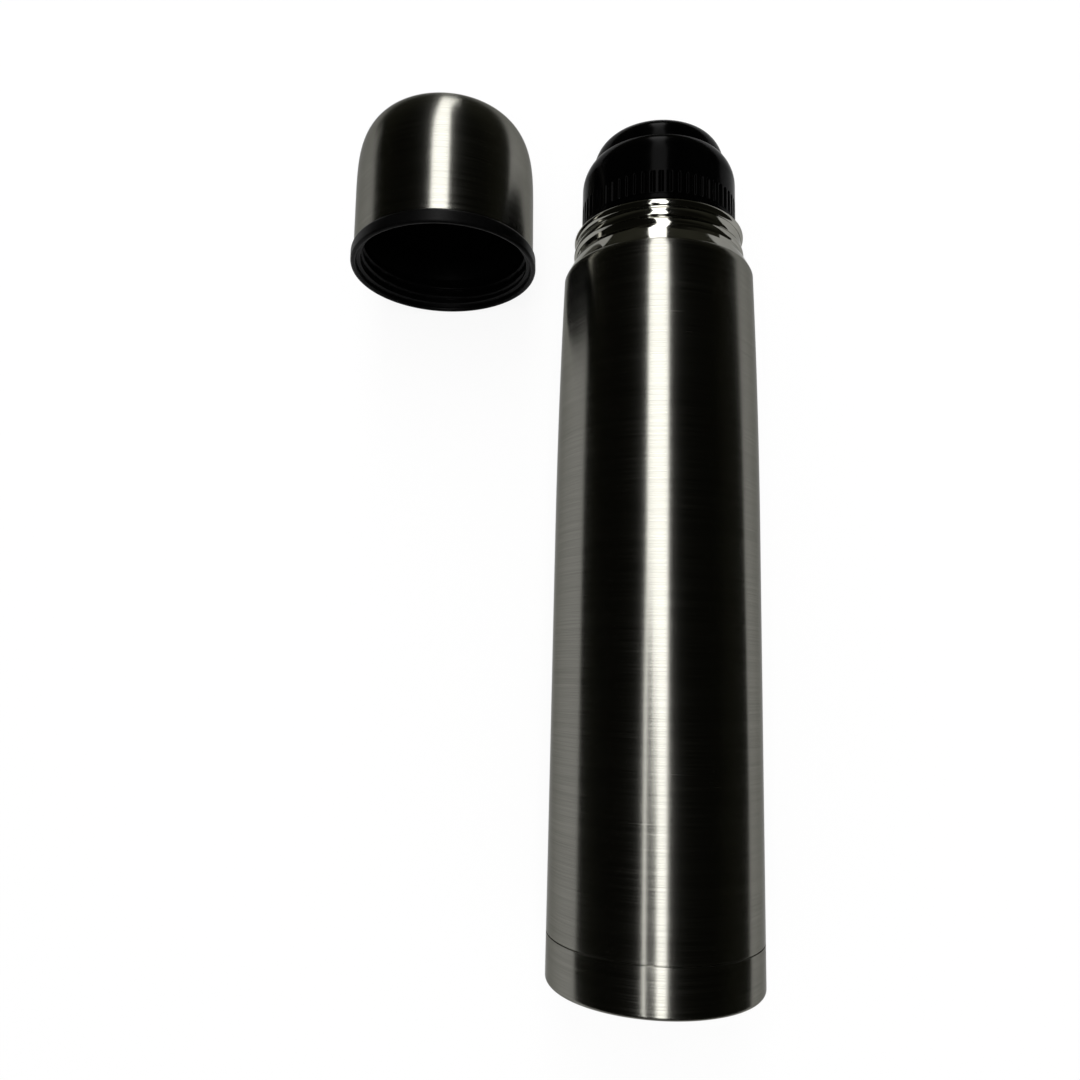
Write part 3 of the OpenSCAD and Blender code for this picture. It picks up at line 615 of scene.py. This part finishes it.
# ---------------------------------------------------------------------------------------------------
# Threaded plug. The stopper's lower half in the same black plastic: a flange that stays just clear of
# the neck's rim, a coarse thread with six pouring channels cut through it, and the gasket's spigot.
def boxes(name, count, size_mm, centre_mm):
    """Ring of `count` cutter boxes about the Y axis, each size_mm long, high and wide, as one mesh."""
    shape = bmesh.new()
    for k in range(count):
        turn = Matrix.Rotation(2 * math.pi * k / count, 4, "Y")
        move = Matrix.Translation(Vector(centre_mm) * MM)
        scale = Matrix.Diagonal((*(Vector(size_mm) * MM), 1))
        bmesh.ops.create_cube(shape, size=1, matrix=turn @ move @ scale)
    mesh = bpy.data.meshes.new(name)
    shape.to_mesh(mesh)
    shape.free()
    cutter = bpy.data.objects.new(name, mesh)
    bpy.context.scene.collection.objects.link(cutter)
    return cutter


def carved(piece, cutters):
    """Cuts the cutters out of a piece, keeps the result as a plain mesh and deletes the cutters."""
    for cutter in cutters:
        cut = piece.modifiers.new("cut", "BOOLEAN")
        cut.operation = "DIFFERENCE"
        cut.object = cutter
    result = kept_shape(piece)
    piece.modifiers.clear()
    piece.data = result
    result.shade_smooth()
    result.set_sharp_from_angle(angle=SHARP_EDGE)
    for cutter in cutters:
        bpy.data.objects.remove(cutter)


SPIGOT_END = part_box("stopper_plug")[0].y / MM
PLUG_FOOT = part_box("neck_gasket")[1].y / MM
PLUG_R = 24.3
PLUG_WALL = 2.3
SPIGOT_GAP = 1.8
SPIGOT_WALL = 4.4
PLUG_CHAMFER = 0.3
POUR_SLOT = 1.3
FLANGE_T = 1.8
SOCKET_H = 5.8
CHAMBER_GAP = 0.5
CHAMBER_FOOT = 4
WEB_H = 6.6
WEB_T = 3.0
GLAND_R = 5.05
GLAND_DEPTH = 2.0
STEM_R = 3.0
STEM_GAP = 0.1
CHANNELS = 6
CHANNEL_W = 9.0
CHANNEL_DEPTH = 1.1
CHANNEL_FOOT = 1.5
PORT_DEPTH = 1
PORT_FOOT = 2.4
PORT_NARROWER = 0.2
CUTTER_DEPTH = 10

flange_y = RIM_TOP + POUR_SLOT
flange_top = flange_y + FLANGE_T
socket_top = flange_top + SOCKET_H
spigot_r = ledge_r - SPIGOT_GAP
spigot_bore_r = spigot_r - SPIGOT_WALL
plug_bore_r = PLUG_R - PLUG_WALL
web_foot = PLUG_FOOT + WEB_H
web_top = web_foot + WEB_T
gland_y = web_top - GLAND_DEPTH
stem_bore_r = STEM_R + STEM_GAP
chamber_r = plug_bore_r - CHAMBER_GAP
thread_rows = [PLUG_FOOT + 0.5 + (flange_y - PLUG_FOOT - 1) * i / NECK_ROWS
               for i in range(NECK_ROWS + 1)]
plug_outline = (
    fillet([(spigot_bore_r, SPIGOT_END, 0.2), (spigot_r, SPIGOT_END, 0.3),
            (spigot_r, PLUG_FOOT, 0)])[:-1]
    + [(spigot_r, PLUG_FOOT), (PLUG_R - PLUG_CHAMFER, PLUG_FOOT)]
    + [(PLUG_R, y) for y in thread_rows]
    + fillet([(PLUG_R, flange_y - 1, 0), (PLUG_R, flange_y, 0.3), (CAP_R, flange_y, 0.4),
              (CAP_R, flange_top, 0.3), (cap_bore_r, flange_top, 0)])[1:]
    + [(cap_bore_r, socket_top), (plug_bore_r, socket_top), (plug_bore_r, web_top), (GLAND_R, web_top),
       (GLAND_R, gland_y), (stem_bore_r, gland_y), (stem_bore_r, web_foot), (chamber_r, web_foot),
       (chamber_r, ledge_y + CHAMBER_FOOT), (spigot_bore_r, ledge_y)])
plug = turned("stopper_threaded_plug", plug_outline, steps=240)
grown(plug, rolled_thread("stopper_thread_on_plug", gloss_black), {
    "Pitch": STOPPER_PITCH * MM, "Turns": STOPPER_TURNS, "Foot": (thread_foot - STOPPER_PITCH / 2) * MM,
    "Start": 0.0, "Height": STOPPER_RIDGE * MM, "Crest": STOPPER_CREST * MM,
    "Flank": STOPPER_FLANK * MM, "Below": EVEN_FLANKS})
channel_h = flange_y - PLUG_FOOT - CHANNEL_FOOT
window_h = web_foot - PLUG_FOOT - PORT_FOOT
carved(plug, [
    boxes("channel_cutters", CHANNELS, (CUTTER_DEPTH, channel_h, CHANNEL_W),
          (PLUG_R - CHANNEL_DEPTH + CUTTER_DEPTH / 2, PLUG_FOOT + CHANNEL_FOOT + channel_h / 2, 0)),
    boxes("window_cutters", CHANNELS, (CUTTER_DEPTH, window_h, CHANNEL_W - PORT_NARROWER),
          (chamber_r - PORT_DEPTH + CUTTER_DEPTH / 2, PLUG_FOOT + PORT_FOOT + window_h / 2, 0))])
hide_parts("stopper_plug")
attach(plug, "stopper")


# ---------------------------------------------------------------------------------------------------
# Seals, washer and foam of the stopper. Soft rings of the solids' own shapes, in milky silicone and
# black nitrile, and a rigid foam ring that keeps the heat in.
# Cured silicone: milk white, a soft sheen and some light coming through
silicone = grained("milky_silicone", "#CFCEC8", "#DCDBD5", (0.38, 0.5), 0.6, 0.01)
silicone_shader = silicone.node_tree.nodes["Principled BSDF"]
silicone_shader.inputs["Subsurface Weight"].default_value = 0.4
silicone_shader.inputs["Subsurface Scale"].default_value = 0.002
# Nitrile rubber: near black with a dusty bloom
nitrile = grained("black_nitrile", "#151516", "#1F1F20", (0.5, 0.65), 0.3, 0.01)
# Rigid foam: pale yellow cells a few tenths of a millimetre across
foam = grained("rigid_foam", "#D8CFB2", "#E6DFC8", (0.8, 0.95), 0.5, 0.2)
finish_node("neck_gasket", silicone)
finish_node("valve_seal", silicone)
finish_node("stem_seal", nitrile)
finish_node("spring_washer", mill_steel)
finish_node("stopper_insulation", foam)


# ---------------------------------------------------------------------------------------------------
# Push button. The upper half of the stopper's outline: a straight skirt, a generously rounded edge and
# a nearly flat top, in the same gloss black. It sits 0.3 mm clear of the cap all round.
button_low, button_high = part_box("push_button")
BUTTON_GAP = 0.3
BUTTON_SIDE_H = 7.5
BUTTON_ROUND_W = 7.2
BUTTON_ROUND_H = 10.3
BUTTON_DOME = 0.5
BUTTON_WALL = 2.2
BUTTON_FLANGE_T = 2.3
BUTTON_FLANGE_GAP = 0.1
BUTTON_THINNER = 1
SEAT_R = 10.5
SEAT_T = 2.0
QUARTER_ROWS = 24
DOME_TOP_ROWS = 12

button_r = hole_r - BUTTON_GAP
button_flange_r = (button_high.x - button_low.x) / 2 / MM
button_bore_r = button_r - BUTTON_WALL
button_flange_top = roof_y - BUTTON_FLANGE_GAP
button_flange_y = button_flange_top - BUTTON_FLANGE_T
side_y = flank_y + BUTTON_SIDE_H
top_y = side_y + BUTTON_ROUND_H
top_r = button_r - BUTTON_ROUND_W
inside_y = top_y - BUTTON_WALL
hollow_y = inside_y - BUTTON_THINNER
seat_y = button_low.y / MM
quarter = [math.pi / 2 * i / QUARTER_ROWS for i in range(QUARTER_ROWS + 1)]
inward = [1 - i / DOME_TOP_ROWS for i in range(1, DOME_TOP_ROWS + 1)]
button_outline = (
    [(STEM_R, seat_y)]
    + fillet([(STEM_R, seat_y, 0), (SEAT_R, seat_y, 0.3), (SEAT_R, hollow_y, 0)])[1:-1]
    + [(SEAT_R, hollow_y), (button_bore_r - BUTTON_ROUND_W + 1, hollow_y)]
    + [(top_r + (BUTTON_ROUND_W - BUTTON_WALL) * math.sin(a),
        side_y + (BUTTON_ROUND_H - BUTTON_WALL - BUTTON_THINNER) * math.cos(a)) for a in quarter]
    + [(button_bore_r, button_flange_y)]
    + fillet([(button_bore_r, button_flange_y, 0), (button_flange_r, button_flange_y, 0.2),
              (button_flange_r, button_flange_top, 0.2), (button_r, button_flange_top, 0)])[1:]
    + [(top_r + BUTTON_ROUND_W * math.cos(a), side_y + BUTTON_ROUND_H * math.sin(a)) for a in quarter]
    + [(top_r * share, top_y + BUTTON_DOME * (1 - share ** 2)) for share in inward]
    + [(0, inside_y), (SEAT_R - BUTTON_WALL, inside_y), (SEAT_R - BUTTON_WALL, seat_y + SEAT_T),
       (STEM_R, seat_y + SEAT_T)])
button = turned("push_button_domed", button_outline)
button.data.materials.append(gloss_black)
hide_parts("push_button")
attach(button, "button")


# ---------------------------------------------------------------------------------------------------
# Valve stem and disc. Satin black mouldings inside the stopper, of the solids' own shapes.
# Acetal: a waxy black with a fine moulding grain
satin_black = grained("satin_black_acetal", "#111113", "#19191B", (0.32, 0.42), 0.4, 0.01)
finish_node("valve_stem", satin_black)
finish_node("valve_disc", satin_black)


# ---------------------------------------------------------------------------------------------------
# Return spring. Seven turns of drawn stainless wire between the washer and the button's pocket, wound
# at one fixed length. In the real stopper it shortens as the button goes down.
def wound_spring(name, material):
    """Geometry Nodes tree that winds a round wire into a coil about Y and closes its ends."""
    tree, given = shape_tree(name, ("Turns", "Radius", "Length", "Foot", "Wire"), changes_shape=False)
    coil = node(tree, "GeometryNodeCurveSpiral", {
        "Resolution": 64, "Rotations": given["Turns"], "Start Radius": given["Radius"],
        "End Radius": given["Radius"], "Height": given["Length"]})
    lift = node(tree, "ShaderNodeCombineXYZ", {"Y": given["Foot"]})
    upright = node(tree, "GeometryNodeTransform", {"Geometry": coil, "Translation": lift,
                                                   "Rotation": (-math.pi / 2, 0, 0)})
    wire = node(tree, "GeometryNodeCurvePrimitiveCircle", {"Resolution": 16, "Radius": given["Wire"]})
    skin = node(tree, "GeometryNodeCurveToMesh", {"Curve": upright, "Profile Curve": wire,
                                                  "Fill Caps": True})
    end_tree(tree, skin, material)
    return tree


spring_low, spring_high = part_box("return_spring")
WIRE_R = 0.7
SPRING_R = 8.0
SPRING_TURNS = 7.0

# Drawn spring wire: bright steel with fine marks of the die along it
spring_wire = grained("drawn_spring_wire", "#9A9994", "#B0AFAA", (0.15, 0.25), 0.6, 0.01, metal=1.0)
spring_length = (spring_high.y - spring_low.y) / MM - 2 * WIRE_R
spring = bpy.data.objects.new("return_spring_wound", bpy.data.meshes.new("return_spring_wound"))
bpy.context.scene.collection.objects.link(spring)
grown(spring, wound_spring("spring_winding", spring_wire), {
    "Turns": SPRING_TURNS, "Radius": SPRING_R * MM, "Length": spring_length * MM,
    "Foot": spring_low.y + WIRE_R * MM, "Wire": WIRE_R * MM})
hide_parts("return_spring")
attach(spring, "stopper")
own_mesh(spring)


# ---------------------------------------------------------------------------------------------------
# Cup shell. Brushed stainless like the body, drawn to a short straight side and a boxy dome. It lies
# on its side next to the neck, its open end towards the flask's base.
CUP_GAP = 10.2
CUP_AHEAD = 6.5
CUP_LEAN = 1.5
CUP_H = 61.2
CUP_R = 34.2
CUP_SIDE_H = 22.7
CUP_SQUARE = 4.0
LIP_R = 35.2
LIP_H = 5.5
LIP_ROUND = 1.5
CUP_EDGE = 0.15
DOME_ROWS = 48


def cup_dome(depth, tail):
    """Outline of the dome from its side to its middle, sunk by depth below the steel's outside."""
    angles = [math.pi / 2 * i / DOME_ROWS for i in range(DOME_ROWS + 1)]
    rise = CUP_H - depth - CUP_SIDE_H
    points = [((CUP_R - depth) * max(0.0, math.cos(a)) ** (2 / CUP_SQUARE),
               CUP_SIDE_H + rise * math.sin(a) ** (2 / CUP_SQUARE)) for a in angles]
    points[-1] = (0, CUP_SIDE_H + rise)
    return points if tail else list(reversed(points))


def cup_touch(s):
    """Angle in radians at which the lip and the cup's side at height s touch one flat surface."""
    share = max(0.0, s - CUP_SIDE_H) / (CUP_H - CUP_SIDE_H)
    radius = CUP_R * (1 - share ** CUP_SQUARE) ** (1 / CUP_SQUARE)
    rise, run = radius - (LIP_R - LIP_ROUND), s - (LIP_H - LIP_ROUND)
    return math.asin(LIP_ROUND / math.hypot(rise, run)) - math.atan2(rise, run)


cup_tilt = min(cup_touch(LIP_H + 2 + k) for k in range(int(CUP_H - LIP_H - 5)))
rest_h = ((LIP_R - LIP_ROUND) * math.cos(cup_tilt) + (LIP_H - LIP_ROUND) * math.sin(cup_tilt)
          + LIP_ROUND)
cup_at = Vector((-(BODY_R + CUP_GAP + LIP_R), SHELL_TOP + CUP_AHEAD, rest_h - BODY_R)) * MM
lay_cup = (Matrix.Translation(cup_at) @ Matrix.Rotation(math.radians(CUP_LEAN), 4, "Z")
           @ Matrix.Rotation(-cup_tilt, 4, "X"))
cup_outline = (
    [(CUP_R - SHEET, LIP_H), (CUP_R - CUP_EDGE, LIP_H), (CUP_R, LIP_H + CUP_EDGE)]
    + cup_dome(0, True)
    + cup_dome(SHEET, False))
cup_shell = turned("cup_steel_shell", cup_outline)
cup_shell.data.transform(lay_cup)
cup_steel = brushed_steel("belt_brushed_stainless_cup", cup_at, lay_cup.to_euler())
cup_shell.data.materials.append(cup_steel)
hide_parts("cup_shell")
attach(cup_shell, "cup")


# ---------------------------------------------------------------------------------------------------
# Cup liner. One black moulding: a rolled lip that hides the steel's edge, the thread that holds the
# cup on the neck, and the smooth inside that one drinks from.
LINER_T = 2.0
LINER_GAP = 0.1
LINER_THICKER = 0.5
LINER_CREST = 0.4
LINER_FLANK = 0.9
CUP_BORE_R = 31.6
CUP_MOUTH_R = 32.9
CUP_THREAD_S = 4.2
MOUTH_ROUND = 1.1
MOUTH_EDGE = 2
BORE_FOOT = 2.4

# Polypropylene: black with a satin bloom and faint flow marks, its gloss kept weak like the stopper's
liner_black = grained("satin_black_polypropylene", "#020202", "#050505", (0.30, 0.40), 1.2, 0.01)
liner_black.node_tree.nodes["Principled BSDF"].inputs["Specular IOR Level"].default_value = 0.07
thread_top = CUP_THREAD_S + CUP_PITCH * CUP_TURNS + 2
bore_rows = [thread_top + (BORE_FOOT - thread_top) * i / NECK_ROWS for i in range(NECK_ROWS + 1)]
depth_out = SHEET + LINER_GAP
depth_in = depth_out + LINER_T + LINER_THICKER
liner_outline = (
    fillet([(CUP_MOUTH_R, 0, MOUTH_ROUND), (LIP_R, 0, MOUTH_ROUND), (LIP_R, LIP_H, LIP_ROUND),
            (CUP_R - SHEET, LIP_H, 0)], steps=12)
    + cup_dome(depth_out, True)
    + cup_dome(depth_in, False)
    + [(CUP_R - depth_in, thread_top + 1)]
    + [(CUP_BORE_R, y) for y in bore_rows]
    + [(CUP_MOUTH_R, MOUTH_EDGE)])
liner = turned("cup_black_liner", liner_outline, steps=360)
grown(liner, rolled_thread("cup_thread_in_liner", liner_black), {
    "Pitch": CUP_PITCH * MM, "Turns": CUP_TURNS, "Foot": CUP_THREAD_S * MM, "Start": 0.0,
    "Height": -RIDGE * MM, "Crest": LINER_CREST * MM, "Flank": LINER_FLANK * MM,
    "Below": EVEN_FLANKS})
liner.data.transform(lay_cup)
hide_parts("cup_liner")
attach(liner, "cup")


# ---------------------------------------------------------------------------------------------------
# Table. A plain white sweep that the flask and its cup lie on. The camera sees it almost white, with
# the shadows left in its plain share, and metal and gloss see a dimmer sheet in its place.
WHITE_SHARE = 0.9
MIRRORED_SHARE = 0.32
TABLE_HALF = 4.0

table = bpy.data.materials.new("white_table")
table.use_nodes = True
tree = table.node_tree
plain = tree.nodes["Principled BSDF"]
plain.inputs["Roughness"].default_value = 0.8
place = node(tree, "ShaderNodeTexCoord").outputs["Object"]
fibres = node(tree, "ShaderNodeTexNoise", {"Vector": place, "Scale": 300.0, "Detail": 2.0})
tone = node(tree, "ShaderNodeMix", {"Factor": fibres, 6: linear("#FAFAFA"), 7: linear("#FEFEFE")},
            data_type="RGBA")
tree.links.new(tone.outputs[2], plain.inputs["Base Color"])
glow = node(tree, "ShaderNodeEmission", {"Color": linear("#FFFFFF"), "Strength": 1.0})
rays = node(tree, "ShaderNodeLightPath").outputs
bounced = node(tree, "ShaderNodeMath", {0: rays["Is Glossy Ray"], 1: rays["Is Transmission Ray"]},
               operation="MAXIMUM")
mirrored = node(tree, "ShaderNodeMath", {0: bounced, 1: MIRRORED_SHARE}, operation="MULTIPLY")
direct = node(tree, "ShaderNodeMath", {0: rays["Is Camera Ray"], 1: WHITE_SHARE}, operation="MULTIPLY")
share = node(tree, "ShaderNodeMath", {0: direct, 1: mirrored}, operation="MAXIMUM")
mixed = node(tree, "ShaderNodeMixShader", {0: share, 1: plain, 2: glow})
tree.links.new(mixed.outputs[0], tree.nodes["Material Output"].inputs["Surface"])


def laid(name, corners, drop=0.0):
    """Flat white piece at the table's height, less drop, with these corners. It is only a stage."""
    mesh = bpy.data.meshes.new(name)
    mesh.from_pydata([(x, y, cad_box[0][2] - drop) for x, y in corners], [], [range(len(corners))])
    mesh.materials.append(table)
    flat = bpy.data.objects.new(name, mesh)
    bpy.context.scene.collection.objects.link(flat)
    return flat


floor = laid("table", [(-TABLE_HALF, -TABLE_HALF), (TABLE_HALF, -TABLE_HALF), (TABLE_HALF, TABLE_HALF),
                       (-TABLE_HALF, TABLE_HALF)])
floor.visible_glossy = False
floor.visible_transmission = False
# What the metal mirrors is a white sheet on that table. It ends a hand's width to the right of the
# flask and beyond its neck, where the dark room begins, so the pale edges of the steel stay narrow.
SHEET_DROP = 0.0001
SHEET_CORNERS = [(-TABLE_HALF, -TABLE_HALF), (0.14, -TABLE_HALF), (0.17, 0.05), (0.29, 0.46),
                 (-0.30, 0.46), (-TABLE_HALF, TABLE_HALF)]
sheet = laid("white_sheet", SHEET_CORNERS, SHEET_DROP)
sheet.visible_camera = False
sheet.visible_diffuse = False
sheet.visible_shadow = False


# ---------------------------------------------------------------------------------------------------
# Light. A long window high over the flask, of four panes that reach unequally far, draws the bright
# stripe along the steel. The room round it is dark, which the metal shows as broad dark bands.
WINDOW_H = 1.2
WINDOW_GLOW = 4.2
FAR_END = 2.6
WALL_PANE_W = 0.47
WALL_PANE_X = -0.015
# Each pane's left and right edge, and its near and far end, in metres
PANES = {
    "window_long_pane": (0.00, 0.22, -1.2, FAR_END),
    "window_middle_pane": (-0.11, 0.00, -0.08, FAR_END),
    "window_far_pane": (-0.25, -0.11, 0.14, FAR_END),
    "window_narrow_pane": (-0.29, -0.235, -1.2, 0.14)}


def pane(name, width, length, centre, tip=0.0):
    """One pane of the window: an even area lamp, tipped about X, that only the object sees."""
    light = bpy.data.lights.new(name, "AREA")
    light.shape = "RECTANGLE"
    light.size, light.size_y = width, length
    light.energy = WINDOW_GLOW * math.pi * width * length
    lamp = bpy.data.objects.new(name, light)
    lamp.location = centre
    lamp.rotation_euler.x = tip
    lamp.visible_camera = False
    bpy.context.scene.collection.objects.link(lamp)


for name, (left, right, near, far) in PANES.items():
    pane(name, right - left, far - near, ((left + right) / 2, (near + far) / 2, WINDOW_H))
# The window goes on down the far wall to the table
pane("window_wall_pane", WALL_PANE_W, WINDOW_H, (WALL_PANE_X, FAR_END, WINDOW_H / 2), -math.pi / 2)

# The camera sees a white backdrop. Metal and gloss see the dark room, a little paler towards its walls,
# and matt surfaces get the soft light that the room throws back.
room = bpy.data.worlds.new("studio")
bpy.context.scene.world = room
room.use_nodes = True
tree = room.node_tree
ray = node(tree, "ShaderNodeTexCoord").outputs["Generated"]
axes = node(tree, "ShaderNodeSeparateXYZ", {0: ray}).outputs
low = node(tree, "ShaderNodeMapRange", {"Value": axes["Z"], "From Max": 0.5, "To Min": 1.0,
                                        "To Max": 0.0}, interpolation_type="SMOOTHSTEP")
ahead = node(tree, "ShaderNodeMapRange", {"Value": axes["Y"], "From Min": 0.5, "From Max": 1.0})
wall = node(tree, "ShaderNodeMix", {"Factor": ahead, 6: linear("#1E1E18"), 7: linear("#3A3A32")},
            data_type="RGBA")
walls = node(tree, "ShaderNodeMix", {"Factor": low, 6: linear("#12120E"), 7: wall.outputs[2]},
             data_type="RGBA")
kinds = node(tree, "ShaderNodeLightPath").outputs
fill = node(tree, "ShaderNodeMix", {"Factor": kinds["Is Diffuse Ray"], 6: walls.outputs[2],
                                    7: linear("#BEBEBE")}, data_type="RGBA")
backdrop = node(tree, "ShaderNodeMix", {"Factor": kinds["Is Camera Ray"], 6: fill.outputs[2],
                                        7: linear("#FFFFFF")}, data_type="RGBA")
tree.links.new(backdrop.outputs[2], tree.nodes["Background"].inputs["Color"])

scene = bpy.context.scene
scene.view_settings.view_transform = "Standard"


# ---------------------------------------------------------------------------------------------------
# Camera. Looks almost straight down on the lying flask from a little left of it and past its middle.
camera_data = bpy.data.cameras.new("camera")
camera_data.sensor_width = 36.0
camera_data.lens = 29.4515
camera_data.clip_start = 0.01
camera = bpy.data.objects.new("camera", camera_data)
camera.location = (-0.011952, 0.096581, 0.312811)
camera.rotation_euler = [math.radians(a) for a in (9.23382, 5.16299, 1.49491)]
scene.collection.objects.link(camera)
scene.camera = camera
